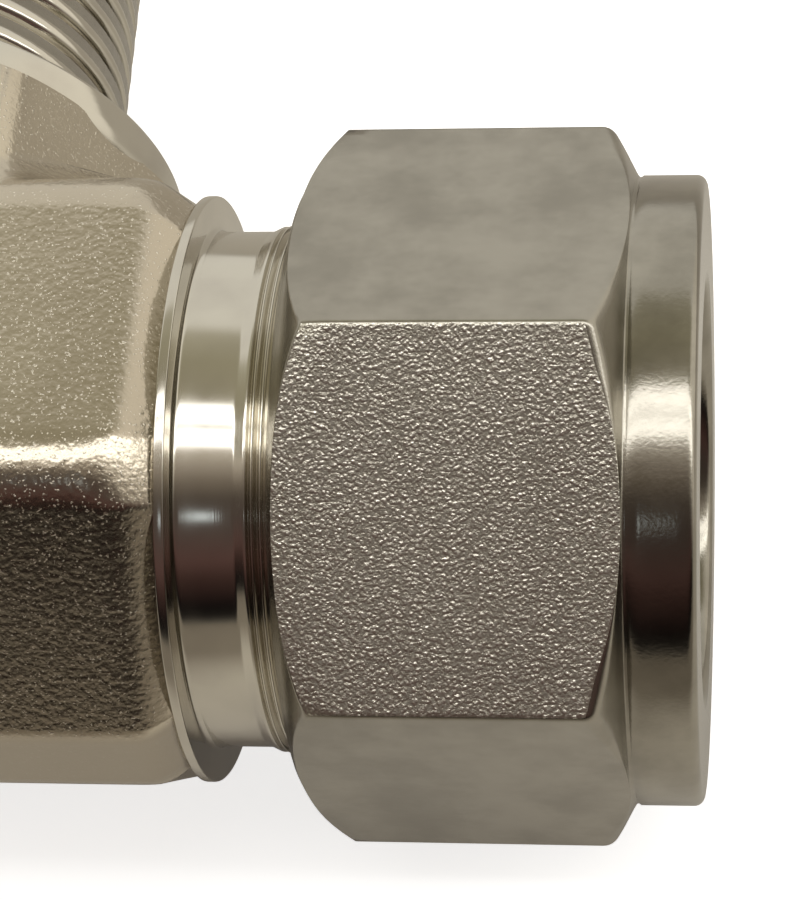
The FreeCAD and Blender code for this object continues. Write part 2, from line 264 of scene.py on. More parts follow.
class Finish(Graph):
    """A material for steel, whose x, y and z are the piece's own places in metres."""

    def __init__(self, name):
        self.material = bpy.data.materials.new(name)
        self.material.use_nodes = True
        super().__init__(self.material.node_tree)
        self.shader = self.nodes["Principled BSDF"]
        self.place = self.node("ShaderNodeTexCoord", {}, {}, "Object")
        self.x, self.y, self.z = self.node("ShaderNodeSeparateXYZ", {}, {0: self.place}, (0, 1, 2))

    def noise(self, per_metre, detail, roughness, vector=None):
        inputs = {"Vector": vector or self.place, "Scale": per_metre, "Detail": detail, "Roughness": roughness}
        return self.node("ShaderNodeTexNoise", {}, inputs)

    def cells(self, per_metre):
        return self.node("ShaderNodeTexVoronoi", {}, {"Vector": self.place, "Scale": per_metre}, "Distance")

    def folded(self, along, radius):
        """A point made of the place along the axis and the radius, so that noise on it makes rings."""
        return self.node("ShaderNodeCombineXYZ", {}, {0: along, 1: radius})

    def bump(self, height, depth):
        """height runs 0 to 1 and stands depth metres high."""
        return self.node("ShaderNodeBump", {}, {"Height": height, "Distance": depth})

    def steel(self, colour, roughness, normal):
        self.feed(self.shader.inputs["Base Color"], colour)
        self.feed(self.shader.inputs["Roughness"], roughness)
        self.feed(self.shader.inputs["Normal"], normal)
        self.shader.inputs["Metallic"].default_value = 1.0
        print("made", self.material.name)
        return self.material


# %% [markdown]
# The forging is stainless steel that was shot-blasted after its scale came off. Close up it is a bed of tiny
# dents a third of a millimetre across, and here and there one of them flashes. Noise at the dents' size gives
# the depth. The peaks of a finer noise raise small flecks, and the colour is also painted near white there: a
# painted glint that shows whatever the light does. A very slow noise clouds the colour. The land half way up was
# sheared when the flash came off, so it is darker and nearly smooth.

# %% Blasted forging
DENT_SIZE = 0.00034
DENT_DEPTH = 0.000042
LAND_EDGE, LAND_FADE_END = 0.0018, 0.0024
LEAST_ROUGHNESS = 0.12


def blasted_steel():
    finish = Finish("blasted forging")
    dents = finish.noise(1.15 / DENT_SIZE, 1.5, 0.5)
    flecks_and_painted_glints = finish.noise(2.6 / DENT_SIZE, 1.0, 0.5).ramped(0.63, 0.75)
    patch = finish.noise(110, 3.0, 0.55)
    land = finish.z.absolute().ramped(LAND_EDGE, LAND_FADE_END, 1.0, 0.0)
    tone = finish.mixed(patch.ramped(0.35, 0.65), (0.53, 0.475, 0.385), (0.6, 0.545, 0.445))
    # painted glints: where the fine flecks peak, the colour is painted near white, on top of their bump
    tone = finish.mixed(flecks_and_painted_glints * 0.55, tone, (0.98, 0.94, 0.85))
    tone = finish.mixed(land * 0.85, tone, (0.4, 0.36, 0.3))
    rough = 0.21 + (patch - 0.5) * 0.08 + (dents - 0.5) * 0.08
    height = (dents * 0.5 + flecks_and_painted_glints * 0.3) * (1 - land * 0.75)
    return finish.steel(tone, rough.most(LEAST_ROUGHNESS), finish.bump(height, DENT_DEPTH))


forging_finish = blasted_steel()

# %% [markdown]
# A lathe leaves fine rings on what it turns, square to the axis. Their height is a noise that changes only
# along the axis and with the radius, which is why the point is first folded to those two numbers.

# %% Turned steel
RING_DEPTH = 0.0000018
STAIN = (0.5, 0.47, 0.42)


def turned_steel(name, colour, about_x, rough):
    finish = Finish(name)
    if about_x:
        along, radius = finish.x, (finish.y * finish.y + finish.z * finish.z).root()
    else:
        side = finish.x - ELBOW_X * MM
        along, radius = finish.y, (side * side + finish.z * finish.z).root()
    folded = finish.folded(along, radius)
    rings = finish.noise(9000, 2.0, 0.6, folded)
    broad = finish.noise(1500, 2.0, 0.5, folded)
    cloud = finish.noise(260, 3.0, 0.5)
    tone = finish.mixed(cloud.ramped(0.4, 0.75, 0, 0.6), colour, STAIN)
    return finish.steel(tone, rough + (broad - 0.5) * 0.12, finish.bump(rings, RING_DEPTH))


neck_finish = turned_steel("turned steel of the tube arm", (0.63, 0.6, 0.53), True, 0.13)
male_finish = turned_steel("turned steel of the male arm", (0.63, 0.6, 0.53), False, 0.13)
ferrule_finish = turned_steel("turned steel of the ferrules", (0.68, 0.66, 0.62), True, 0.14)

# %% [markdown]
# The nut is cut from hexagon bar. Its front flat still has the grainy, sparkling skin of a blasted surface, and
# the others are satin. The front flat's colour is also painted far paler than the other flats. This is partly
# for that skin and partly painted light, for the light that falls on that side. One material serves all of them:
# the distance out along the front flat's own direction says whether a point lies on that flat, and the place
# along the axis says where the collar starts.

# %% Nut steel
FRONT_FLAT_HALF = 8.2
COLLAR_START_X = NUT_END_X - 3.0
BLAST_DEPTH, SATIN_DEPTH = 0.000066, 0.000005


def nut_steel():
    finish = Finish("nut steel")
    x, y, z = finish.x, finish.y, finish.z
    out = z * math.cos(NUT_TURN) - y * math.sin(NUT_TURN)
    across = (z * math.sin(NUT_TURN) + y * math.cos(NUT_TURN)).absolute()
    collar = x > COLLAR_START_X * MM
    front = (out > (NUT_ACROSS_FLATS / 2 - 0.02) * MM) * (across < FRONT_FLAT_HALF * MM)
    front = front * (x < COLLAR_START_X * MM)
    pebbles = finish.cells(5000).ramped(0.0, 0.7, 1.0, 0.0)
    dents = finish.noise(7200, 1.5, 0.5) * 0.65 + pebbles * 0.3
    fine = finish.noise(12000, 1.0, 0.5)
    rings = finish.noise(8000, 2.0, 0.6, finish.folded(x, (y * y + z * z).root()))
    cloud = finish.noise(230, 5.0, 0.6)
    satin = finish.noise(5200, 3.0, 0.6)
    plain = finish.mixed(cloud.ramped(0.3, 0.7), (0.283, 0.265, 0.226), (0.4, 0.378, 0.327))
    # painted light: the front flat's pale tone stands partly for its blasted skin and partly for the light
    # falling on that side
    coarse_and_painted_light = finish.mixed(dents.ramped(0.35, 0.6), (0.62, 0.595, 0.515), (0.88, 0.855, 0.77))
    tone = finish.mixed(front, plain, coarse_and_painted_light)
    rough = 0.24 + (cloud - 0.5) * 0.1 + front * 0.08 - collar * 0.08
    blast_bump = finish.bump(dents * 0.8 + fine * 0.2, BLAST_DEPTH)
    satin_bump = finish.bump(satin * 0.95 + rings * 0.05, SATIN_DEPTH)
    choice = {0: front, 4: satin_bump, 5: blast_bump}
    normal = finish.node("ShaderNodeMix", {"data_type": "VECTOR"}, choice, 1)
    return finish.steel(tone, rough.most(LEAST_ROUGHNESS), normal)


nut_finish = nut_steel()

# %% [markdown]
# The forging is an L whose section is the same all along: two wrench flats, four sloping sides and a narrow
# land half way up, where the press trimmed the flash off. The outer side turns the heel about one centre, and
# the inner side turns the crotch more tightly near the flats than at the land. So the section is a row of
# points, each of which knows how far out it stands, and every point walks its own L. A sweep along one curve
# could not do that.

# %% The forging's section and the walk of each of its points
HALF_WIDTH, FLAT_HALF, TOP_Z, LAND_Z = 14.35, 7.85, 13.65, 2.1
HEEL_R, CROTCH_R, CROTCH_TOP_R = 9.0, 2.9, 1.5
FLAT_EASE, LAND_EASE = 2.1, 0.5
END_DOME_LENGTH, END_DOME_RISE, DOME_SOFTNESS = 3.4, 2.3, 0.22
ARM_STEPS, BEND_STEPS = 28, 24


def forging_section():
    """Half widths and heights of the inner side, from the lower flat's edge up to the upper flat's edge."""
    line = eased([
        (0.0, -TOP_Z, 0), (FLAT_HALF, -TOP_Z, FLAT_EASE), (HALF_WIDTH, -LAND_Z, LAND_EASE),
        (HALF_WIDTH, LAND_Z, LAND_EASE), (FLAT_HALF, TOP_Z, FLAT_EASE), (0.0, TOP_Z, 0),
    ], 8)
    return line[line[:, 0] > 1e-6]


def walked(half_width, outer):
    """The L-shaped walk of one point of the section, from the tube end round to the male end."""
    shrink = HALF_WIDTH - half_width
    if outer:
        radius = HEEL_R - shrink
        centre = np.array([ELBOW_X - HALF_WIDTH + HEEL_R, -HALF_WIDTH + HEEL_R])
    else:
        radius = CROTCH_R + shrink / (HALF_WIDTH - FLAT_HALF) * (CROTCH_TOP_R - CROTCH_R)
        centre = np.array([ELBOW_X + half_width + radius, half_width + radius])
    angles = np.radians(np.linspace(270, 180, BEND_STEPS + 1))
    bend = centre + radius * np.stack([np.cos(angles), np.sin(angles)], 1)
    bend_x, bend_y = bend[0]
    start_x = max(FORGING_END_X, bend_x + 0.001)
    stop_x = max(start_x - 1.7 * END_DOME_LENGTH, bend_x + 0.002)
    arm_x = np.linspace(start_x, min(stop_x, start_x - 0.001), ARM_STEPS)
    arm = np.column_stack([arm_x, np.full(ARM_STEPS, bend_y)])
    end = np.array([bend[-1][0], max(MALE_COLLAR_Y, bend[-1][1] + 0.001)])
    return np.vstack([arm, bend, end])


def rounded_end(points):
    """Pulls the points near the tube end in to a dome, softly, so that the flats fade into a round end."""
    x, y, z = points.T
    radius = np.sqrt(y ** 2 + z ** 2)
    back = np.clip((FORGING_END_X - x) / END_DOME_LENGTH, 0, None)
    rise = np.sin(np.clip(back, 0, 1.25) * math.pi / 2.5) / math.sin(math.pi / 2.5)
    dome = SHOULDER_R + 0.02 + END_DOME_RISE * rise + np.clip(back - 1.25, 0, None) * 40
    over = np.clip((radius - dome) / DOME_SOFTNESS, -40, 40)
    pulled = np.where(back > 1.6, radius, radius - DOME_SOFTNESS * np.log1p(np.exp(over)))
    scale = np.where(radius > 1, pulled / np.maximum(radius, 1e-6), 1)
    return np.stack([x, y * scale, z * scale], 1)


def forging_mesh():
    """The walks laid side by side as the rows of a skin, with a face on each end."""
    section = forging_section()
    loop = [(w, z, False) for w, z in section] + [(w, z, True) for w, z in section[::-1]]
    walks = []
    for half_width, z, outer in loop:
        path = walked(half_width, outer)
        walks.append(rounded_end(np.column_stack([path, np.full(len(path), z)])))
    grid = np.array(walks)
    count, stations = grid.shape[:2]
    faces = []
    for i in range(count):
        here, there = i * stations, (i + 1) % count * stations
        faces += [[here + j, there + j, there + j + 1, here + j + 1] for j in range(stations - 1)]
    first_row = np.arange(count) * stations
    faces += [first_row[::-1].tolist(), (first_row + stations - 1).tolist()]
    mesh = bpy.data.meshes.new("forged_elbow")
    mesh.from_pydata((grid.reshape(-1, 3) * MM).tolist(), [], faces)
    mesh.validate()
    return outward(mesh)


# %% [markdown]
# A real forging is a solid lump until the lathe bores it. The mesh is treated the same way: cutters take out
# the room for both turned ends and the two bores that meet inside. The exact solver is slower than the
# other ones, but leaves clean edges where surfaces meet at a shallow angle.

# %% Boring the forging
def carved(mesh, *cutters):
    """The mesh with each cutter's shape taken away, worked out by the exact solver."""
    items = [bpy.data.objects.new("work", shape) for shape in (mesh, *cutters)]
    for item in items:
        bpy.context.scene.collection.objects.link(item)
    for cutter in items[1:]:
        step = items[0].modifiers.new("cut", "BOOLEAN")
        step.operation, step.solver, step.object = "DIFFERENCE", "EXACT", cutter
    bpy.context.view_layer.update()
    finished = items[0].evaluated_get(bpy.context.evaluated_depsgraph_get())
    result = bpy.data.meshes.new_from_object(finished)
    for item in items:
        bpy.data.objects.remove(item)
    result.name = mesh.name
    return result


def rod(name, line, around):
    """A solid cutter: an open line of (along, radius) points whose ends lie on the axis."""
    line = np.array(line, float)
    line[[0, -1], 1] = 1e-4
    return turned(name, line, around, 128)


FAR = 40
TUBE_CORE_R, MALE_CORE_R = 10.5, 8.0
tube_cut = rod("tube_cut", [
    (-20.2, 0), (ELBOW_X, TUBE_FLOW_R), (-2.0, TUBE_FLOW_R), (-2.0, TUBE_CORE_R), (9, TUBE_CORE_R), (9, 0),
], about_tube_axis)
male_cut = rod("male_cut", [
    (-3.6, 0), (0, MALE_FLOW_R), (12.5, MALE_FLOW_R), (12.5, MALE_CORE_R), (30, MALE_CORE_R), (30, 0),
], about_male_axis)
beyond_tube = turned("beyond_tube", [
    (FORGING_END_X, 11.5), (FORGING_END_X, FAR), (30, FAR), (30, 11.5),
], about_tube_axis)
beyond_male = turned("beyond_male", [
    (MALE_COLLAR_Y, 13.6), (MALE_COLLAR_Y, MALE_COLLAR_R), (HALF_WIDTH + 0.02, 15.6), (HALF_WIDTH + 0.02, FAR),
    (FAR, FAR), (FAR, 13.6),
], about_male_axis)
forging = carved(forging_mesh(), beyond_tube, beyond_male, tube_cut, male_cut)
forging.materials.clear()
forging.materials.append(forging_finish)
forging.shade_smooth()
evened(piece("forged_elbow", forging, "elbow", "forged_body", "elbow_body")).keep_sharp = True

# %% [markdown]
# The tube end is one turning: a shoulder that trims the forging, the neck, then the thread's core and the
# nose. Inside, from the front, come the ferrule seat, the socket, the stop that the tube meets and the bore
# for the fluid. The line below walks once round that section, outside first. Each corner has its own ease,
# and the three small grooves are where the threading tool ran out.

# %% Tube end
TUBE_ROOT_X, TUBE_ROOT_R = -3.0, 11.0
SKIN = 0.03        # how far the turning reaches under the forging's end
tube_corners = [
    (TUBE_ROOT_X, TUBE_FLOW_R, 0), (TUBE_ROOT_X, TUBE_ROOT_R, 0), (FORGING_END_X - SKIN, TUBE_ROOT_R, 0),
    (FORGING_END_X - SKIN, SHOULDER_R, 0.1), (SHOULDER_X, SHOULDER_R, 0.1),
    (SHOULDER_X, NECK_R, 0.28), (NECK_END_X, NECK_R, 0.08),
    (FROST_END_X, FROST_END_R, 0.04), (FROST_END_X + 0.1, FROST_END_R, 0.04),
    (5.41, 11.8, 0.05), (5.55, 12.13, 0.03), (5.61, 12.13, 0.03),
    (5.78, 11.76, 0.05), (5.93, 12.15, 0.03), (THREAD_START_X, 12.15, 0.03),
    (THREAD_START_X + 0.18, 11.8, 0.05), (THREAD_START_X + 0.3, THREAD_ROOT_R, 0.05),
    (NOSE_X - 0.75, THREAD_ROOT_R, 0.12), (NOSE_X, NOSE_R, 0.15), (NOSE_X, SEAT_MOUTH_R, 0.1),
    (NOSE_X - (SEAT_MOUTH_R - SOCKET_R) / SEAT_SLOPE, SOCKET_R, 0.2),
    (0.0, SOCKET_R, 0.15), (0.0, TUBE_FLOW_R, 0.15),
]
tube_mesh = turned("tube_end", eased(tube_corners), about_tube_axis, 384)
tube_mesh.materials.append(neck_finish)
evened(piece("tube_end", tube_mesh, "elbow", "forged_body", "elbow_body"))

# %% [markdown]
# The male end is another turning: a collar that leads in under the forging as a cone, a core that tapers one
# in sixteen, a chamfered tip and the bore.

# %% Male end
MALE_ROOT_Y, MALE_ROOT_R = 11.5, 9.0
LEAD_IN, LEAD_IN_R = 2.0, 12.9
TIP_CHAMFER, BORE_CHAMFER = 0.4, 0.4


def pipe_crest(y):
    """The thread's outer radius, which shrinks by one in thirty-two towards the tip."""
    return PIPE_END_R + (MALE_END_Y - y) / 32


def pipe_core(y):
    return pipe_crest(y) - PIPE_DEPTH


male_corners = [
    (MALE_ROOT_Y, MALE_FLOW_R, 0), (MALE_ROOT_Y, MALE_ROOT_R, 0),
    (MALE_COLLAR_Y - LEAD_IN, MALE_ROOT_R, 0), (MALE_COLLAR_Y - LEAD_IN, LEAD_IN_R, 0),
    (MALE_COLLAR_Y, MALE_COLLAR_R, 0.3), (MALE_SHOULDER_Y, MALE_COLLAR_R, 0.3),
    (MALE_SHOULDER_Y, pipe_core(MALE_SHOULDER_Y), 0.2), (MALE_END_Y - 0.6, pipe_core(MALE_END_Y), 0.1),
    (MALE_END_Y, pipe_core(MALE_END_Y) - TIP_CHAMFER, 0.1),
    (MALE_END_Y, MALE_FLOW_R + BORE_CHAMFER, 0.1), (MALE_END_Y - BORE_CHAMFER, MALE_FLOW_R, 0.1),
]
male_mesh = turned("male_end", eased(male_corners), about_male_axis, 320)
male_mesh.materials.append(male_finish)
evened(piece("male_end", male_mesh, "elbow", "forged_body", "elbow_body"))

# %% [markdown]
# A thread is one ridge wound round a core. Geometry Nodes make it as a spiral curve with a small profile
# carried along it, which is how a thread is drawn in a drawing office. The spiral's own radii give a pipe
# thread its taper for nothing. Each ridge fades in and out at its ends, as a real thread runs out, by a
# scale along the curve that shrinks the profile.

# %% The thread's node tree
RIDGE_SIZES = (
    "Start radius", "End radius", "Length", "Turns", "Half width", "Half crest", "Height", "Fade turns",
)


def ridge_tree():
    tree = bpy.data.node_groups.new("thread ridge", "GeometryNodeTree")
    face = tree.interface
    face.new_socket("Geometry", in_out="OUTPUT", socket_type="NodeSocketGeometry")
    for name in RIDGE_SIZES:
        face.new_socket(name, in_out="INPUT", socket_type="NodeSocketFloat")
    face.new_socket("Steps a turn", in_out="INPUT", socket_type="NodeSocketInt")
    face.new_socket("Finish", in_out="INPUT", socket_type="NodeSocketMaterial")
    graph = Graph(tree)
    given = graph.node("NodeGroupInput", {}, {}, RIDGE_SIZES + ("Steps a turn", "Finish"))
    start_radius, end_radius, length, turns, half_width, half_crest, height, fade_turns, steps, finish = given
    spiral = graph.node("GeometryNodeCurveSpiral", {}, {
        "Resolution": steps, "Rotations": turns,
        "Start Radius": start_radius, "End Radius": end_radius, "Height": length,
    })
    spiral = graph.node("GeometryNodeSetCurveNormal", {"mode": "Z_UP"}, {"Curve": spiral})
    along = graph.node("GeometryNodeSplineParameter", {}, {})
    fade = fade_turns / turns
    size = (along / fade).least((1.0 - along) / fade).least(1.0).most(0.02)
    sunk = height * -0.3
    corners = [(sunk, half_width * -1.0), (sunk, half_width), (height, half_crest), (height, half_crest * -1.0)]
    points = {
        f"Point {i + 1}": graph.node("ShaderNodeCombineXYZ", {}, {0: x, 1: y})
        for i, (x, y) in enumerate(corners)
    }
    profile = graph.node("GeometryNodeCurvePrimitiveQuadrilateral", {"mode": "POINTS"}, points)
    sweep = {"Curve": spiral, "Profile Curve": profile, "Scale": size, "Fill Caps": True}
    swept = graph.node("GeometryNodeCurveToMesh", {}, sweep)
    plain = graph.node("GeometryNodeRealizeInstances", {}, {"Geometry": swept})
    ready = graph.node("GeometryNodeSetMaterial", {}, {"Geometry": plain, "Material": finish})
    graph.node("NodeGroupOutput", {}, {0: ready}, ())
    return tree


RIDGES = ridge_tree()
print("thread tree has", len(RIDGES.nodes), "nodes")


# %% [markdown]
# The tree runs on an empty mesh and its result is kept as a plain mesh. The spiral climbs along its own Z, so
# a matrix that only swaps the axes lays it along X for the tube arm or along Y for the male arm.

# %% The two threads
def ridge(name, finish, place, **sizes):
    """The thread tree run once, and its result laid on its axis. Sizes are in metres."""
    holder = bpy.data.objects.new("holder", bpy.data.meshes.new("holder"))
    bpy.context.scene.collection.objects.link(holder)
    step = holder.modifiers.new("thread", "NODES")
    step.node_group = RIDGES
    known = {item.name: item.identifier for item in RIDGES.interface.items_tree if item.in_out == "INPUT"}
    for key, value in sizes.items():
        step[known[key.replace("_", " ")]] = value
    step[known["Finish"]] = finish
    bpy.context.view_layer.update()
    finished = holder.evaluated_get(bpy.context.evaluated_depsgraph_get())
    result = bpy.data.meshes.new_from_object(finished)
    bpy.data.objects.remove(holder)
    result.transform(place)
    result.name = name
    return outward(result)


ALONG_TUBE = Matrix(((0, 0, 1, 0), (1, 0, 0, 0), (0, 1, 0, 0), (0, 0, 0, 1)))
ALONG_MALE = Matrix(((1, 0, 0, 0), (0, 0, 1, 0), (0, -1, 0, 0), (0, 0, 0, 1)))
thread_length = NOSE_X - 0.5 - THREAD_START_X
tube_ridge = ridge(
    "tube_thread", neck_finish, Matrix.Translation((THREAD_START_X * MM, 0, 0)) @ ALONG_TUBE,
    Start_radius=THREAD_ROOT_R * MM, End_radius=THREAD_ROOT_R * MM, Length=thread_length * MM,
    Turns=thread_length / THREAD_PITCH, Half_width=0.5 * MM, Half_crest=0.1 * MM,
    Height=(THREAD_CREST_R - THREAD_ROOT_R) * MM, Fade_turns=0.6, Steps_a_turn=96,
)
piece("tube_thread", tube_ridge, "elbow", "forged_body")
pipe_start, pipe_end = MALE_SHOULDER_Y + 1.6, MALE_END_Y - 0.3
male_ridge = ridge(
    "male_thread", male_finish, Matrix.Translation((ELBOW_X * MM, pipe_start * MM, 0)) @ ALONG_MALE,
    Start_radius=pipe_core(pipe_start) * MM, End_radius=pipe_core(pipe_end) * MM,
    Length=(pipe_end - pipe_start) * MM, Turns=(pipe_end - pipe_start) / PIPE_PITCH,
    Half_width=0.85 * MM, Half_crest=0.12 * MM, Height=PIPE_DEPTH * MM, Fade_turns=1.2, Steps_a_turn=96,
)
piece("male_thread", male_ridge, "elbow", "forged_body")

# %% [markdown]
# The nut is a hexagon bar whose two ends were turned. Walk round it and the section changes with the angle:
# the bar's surface stands nearer or further out, and where it meets the turned cones the cut climbs and falls
# in the familiar scallops. So each column of the grid works out the bar's radius at its own angle and joins
# the front dome, the flat, the back cone and the collar to it. The columns stand closer at the six long
# edges, which are slightly rounded.

# %% The nut's outside
APOTHEM, BAR_EDGE_R = NUT_ACROSS_FLATS / 2, 0.35
DOME = [
    (6.4, 12.9), (6.43, 13.25), (6.51, 13.6), (6.63, 14.0), (6.8, 14.29), (7.0, 14.75), (7.2, 15.11),
    (7.4, 15.42), (7.63, 15.74), (7.87, 16.06), (8.15, 16.4), (8.5, 16.8),
]
MOUTH_LIP_R = 12.9
BACK_SLOPE = math.tan(math.radians(27.3))
ROOT_X = NUT_END_X - 3.1
ROOT_GROOVE, RIM = 0.07, 0.45


def bar_radius(angle):
    """Distance from the axis to the bar's surface at an angle."""
    turn = (angle - NUT_TURN + math.pi / 6) % (math.pi / 3) - math.pi / 6
    flat = APOTHEM / math.cos(turn)
    if APOTHEM * math.tan(abs(turn)) <= (APOTHEM - BAR_EDGE_R) * math.tan(math.pi / 6):
        return flat
    centre_r = (APOTHEM - BAR_EDGE_R) / math.cos(math.pi / 6)
    off = math.pi / 6 - abs(turn)
    reach = centre_r * math.cos(off) + math.sqrt(max(BAR_EDGE_R ** 2 - (centre_r * math.sin(off)) ** 2, 0))
    return min(flat, reach)


def nut_outside(angle):
    """The line of (along, radius) points at one angle, from the mouth back to the rim of the open end."""
    reach = bar_radius(angle)
    dome_x, dome_r = np.array(DOME).T
    front = [(np.interp(r, dome_r, dome_x), r) for r in np.linspace(MOUTH_LIP_R, reach, 14)]
    root_r = NUT_COLLAR_R + min(0.2, 0.5 * (reach - NUT_COLLAR_R))
    soft = min(0.5, 0.4 * (reach - root_r))
    corner = np.array([ROOT_X - (reach - NUT_COLLAR_R) * BACK_SLOPE, reach])
    first, after = corner - (soft, 0), corner + (soft * BACK_SLOPE, -soft)
    flat = [(x, reach) for x in np.linspace(front[-1][0], first[0], 10)[1:-1]]
    for t in np.linspace(0, 1, 7):
        flat.append(tuple((1 - t) ** 2 * first + 2 * t * (1 - t) * corner + t * t * after))
    cone = [
        (ROOT_X - (r - NUT_COLLAR_R) * BACK_SLOPE, r) for r in np.linspace(reach - soft, root_r, 7)[1:]
    ]
    groove = [
        (ROOT_X + 0.02, NUT_COLLAR_R), (ROOT_X + 0.08, NUT_COLLAR_R - ROOT_GROOVE),
        (ROOT_X + 0.2, NUT_COLLAR_R - ROOT_GROOVE), (ROOT_X + 0.28, NUT_COLLAR_R),
    ]
    collar = [(x, NUT_COLLAR_R) for x in np.linspace(ROOT_X + 0.8, NUT_END_X - RIM, 5)]
    for t in np.linspace(0.2, math.pi / 2, 6):
        collar.append((NUT_END_X - RIM + RIM * math.sin(t), NUT_COLLAR_R - RIM + RIM * math.cos(t)))
    return front + flat + cone + groove + collar


# %% [markdown]
# The bore inside is round at every angle: a chamfer, the hole for the tube, the cone that drives the back
# ferrule, the ferrules' chamber and then the thread. The thread's grooves are cut straight into the grid,
# by a wave that moves on by one pitch in each turn.

# %% The nut's bore and the whole nut
CHAMBER_X, CHAMBER_R = 21.2, 11.45
NUT_THREAD_X, NUT_THREAD_R, NUT_THREAD_DEPTH = 18.2, 12.0, 0.62
NUT_BORE = [
    (NUT_END_X, SOCKET_R + 0.36), (NUT_END_X, SOCKET_R + 0.3), (NUT_END_X - 0.3, SOCKET_R),
    (CHAMBER_X + 1.77, SOCKET_R), (CHAMBER_X, CHAMBER_R - 0.08), (CHAMBER_X - 0.2, CHAMBER_R),
    (18.29, CHAMBER_R), (18.27, 12.35),
]


def nut_mesh():
    spread = np.radians([*np.linspace(-29.2, 29.2, 44), *np.linspace(29.4, 30.6, 7)])
    angles = np.concatenate([NUT_TURN + face * math.pi / 3 + spread for face in range(6)])
    lines = np.array([nut_outside(angle) + NUT_BORE for angle in angles])
    thread_x = np.linspace(NUT_THREAD_X, NUT_START_X + 0.4, 118)
    phase = (thread_x[None] / THREAD_PITCH - angles[:, None] / (2 * math.pi)) % 1.0
    thread_r = NUT_THREAD_R + NUT_THREAD_DEPTH * np.clip(np.abs(phase - 0.5) * 2.6 - 0.3, 0, 1)
    thread = np.stack([np.broadcast_to(thread_x, thread_r.shape), thread_r], -1)
    mouth = np.broadcast_to(np.array([NUT_START_X, 12.7]), (len(angles), 1, 2))
    lines = np.concatenate([lines, thread, mouth], 1)
    columns = np.broadcast_to(angles[:, None], lines.shape[:2])
    return ring_mesh("hexagon_nut", about_tube_axis(lines[..., 0], lines[..., 1], columns))


nut = nut_mesh()
nut.materials.append(nut_finish)
evened(piece("hexagon_nut", nut, "nut", "nut_steel", "tube_nut"))

# %% [markdown]
# Two ferrules hide between body and nut. They show in the open end and wherever the nut is backed off, so
# they get the same care: a cone that enters the seat, and a small flanged ring that wedges under it. Their
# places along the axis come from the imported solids.

# %% Ferrules
FERRULE_EASE, FERRULE_TIP_R = 0.08, 9.95


def ferrule(name, node, line):
    mesh = turned(name, eased([(x, r, FERRULE_EASE) for x, r in line]), about_tube_axis)
    mesh.materials.append(ferrule_finish)
    evened(piece(name, mesh, "ferrules", "ferrule_steel", node))


(front_x, _, _), (front_end_x, _, outer_r) = (np.array(v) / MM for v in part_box("front_ferrule"))
ferrule("front_ferrule_ring", "front_ferrule", [
    (front_x, SOCKET_R), (front_x, FERRULE_TIP_R), (front_x + (outer_r - FERRULE_TIP_R) / SEAT_SLOPE, outer_r),
    (front_end_x, outer_r), (front_end_x, outer_r - 0.54), (front_end_x - 1.0, 10.01),
    (front_end_x - 1.0, SOCKET_R),
])
(back_x, _, _), (back_end_x, _, _) = (np.array(v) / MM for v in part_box("back_ferrule"))
ferrule("back_ferrule_ring", "back_ferrule", [
    (back_x, SOCKET_R), (back_x, FERRULE_TIP_R), (back_x + 1.0, outer_r - 0.6),
    (back_end_x - 1.8, outer_r - 0.6), (back_end_x - 1.8, outer_r), (back_end_x - 0.7, outer_r),
    (back_end_x, outer_r - 0.7), (back_end_x, SOCKET_R),
])

# %% [markdown]
# The bench is a plain pale floor. The camera sees it as white paper, by a glow for camera rays on top of what
# the light makes of it, so the fitting's shadow stays. Mirrored in the metal it is duller, with only a faint
# glow. On the near side and far out its colour is darker still: painted shade, which stands in for the dim room
# around the bench.

# %% Floor
FLOOR_Z = -16.3
CAMERA_GLOW, MIRRORED_GLOW, FAR_DIMMING = 0.75, 0.05, 0.5
floor_corners = [(x, y, FLOOR_Z * MM) for x, y in ((-0.5, -0.38), (0.5, -0.38), (0.5, 0.6), (-0.5, 0.6))]
floor_mesh = bpy.data.meshes.new("floor")
floor_mesh.from_pydata(floor_corners, [], [(0, 1, 2, 3)])
floor = bpy.data.objects.new("floor", floor_mesh)
bpy.context.scene.collection.objects.link(floor)
white_paper = bpy.data.materials.new("white paper")
white_paper.use_nodes = True
paper = Graph(white_paper.node_tree)
paper_shader = paper.nodes["Principled BSDF"]
paper_shader.inputs["Roughness"].default_value = 0.9
paper_shader.inputs["Emission Color"].default_value = (1, 1, 1, 1)
to_camera, glossy, transmitted = paper.node(
    "ShaderNodeLightPath", {}, {}, ("Is Camera Ray", "Is Glossy Ray", "Is Transmission Ray"),
)
mirrored = glossy + transmitted
place = paper.node("ShaderNodeTexCoord", {}, {}, "Object")
floor_y = paper.node("ShaderNodeSeparateXYZ", {}, {0: place}, "Y")
# painted shade: in reflections the floor is painted darker, and loses its glow, on the near side and far out
near_painted_shade = floor_y.ramped(-0.028, -0.075)
far_painted_shade = floor_y.ramped(0.015, 0.04)
shade = paper.mixed(mirrored, (0.86, 0.86, 0.86), (0.7, 0.67, 0.61))
shade = paper.mixed(mirrored * (near_painted_shade + far_painted_shade * FAR_DIMMING), shade, (0.3, 0.27, 0.23))
glow = mirrored * (1 - near_painted_shade) * MIRRORED_GLOW + to_camera * CAMERA_GLOW
paper.feed(paper_shader.inputs["Base Color"], shade)
paper.feed(paper_shader.inputs["Emission Strength"], glow)
floor_mesh.materials.append(white_paper)
print("floor at", FLOOR_Z, "mm")

# %% [markdown]
# Polished metal shows the room, so the room is the lighting. A long pair of tubes hangs over the bench, the
# near side of the room is dark, and the far wall is light. The world gives the room by direction: each band
# has a colour and the angle from straight up at which it lies, towards +Y, and a pale wall stands beyond the
# nut. Area lamps give the tubes and a small window, whose reflections are the bright bands on the neck. The
# camera itself sees white past the floor.

